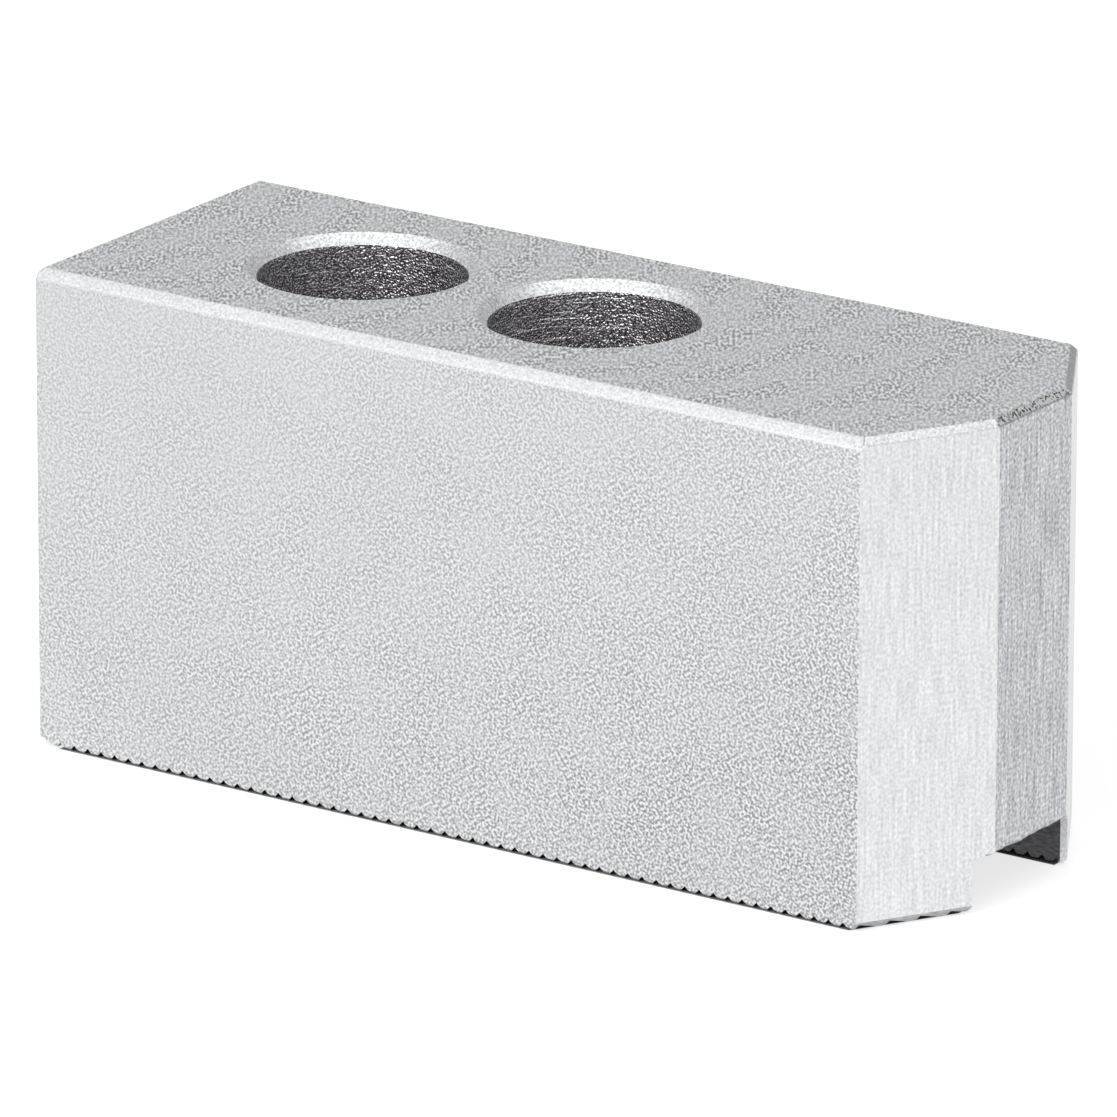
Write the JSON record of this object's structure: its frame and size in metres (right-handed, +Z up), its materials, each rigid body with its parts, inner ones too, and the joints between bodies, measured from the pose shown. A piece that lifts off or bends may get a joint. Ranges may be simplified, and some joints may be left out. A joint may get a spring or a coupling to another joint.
{
  "type": "machinable soft jaw",
  "caption": "Soft steel top jaw for a lathe's power chuck, with a pointed nose, counterbored screw holes, a serrated base and a key slot, to be turned to the workpiece.",
  "frame": {"origin": "on the plane of the serration's crests, under the middle of the block", "axes": "+X from the back of the jaw to its nose, along the key slot; +Y across the jaw; +Z up, from the serrated base to the top face with the screw holes"},
  "size_m": [0.1, 0.0364, 0.0473],
  "materials": {
    "jaw_steel": "bare low-carbon steel, ground sides and top, milled nose, bored holes"
  },
  "bodies": {
    "root": {"soft_jaw": "jaw_steel"}
  },
  "joints": []
}
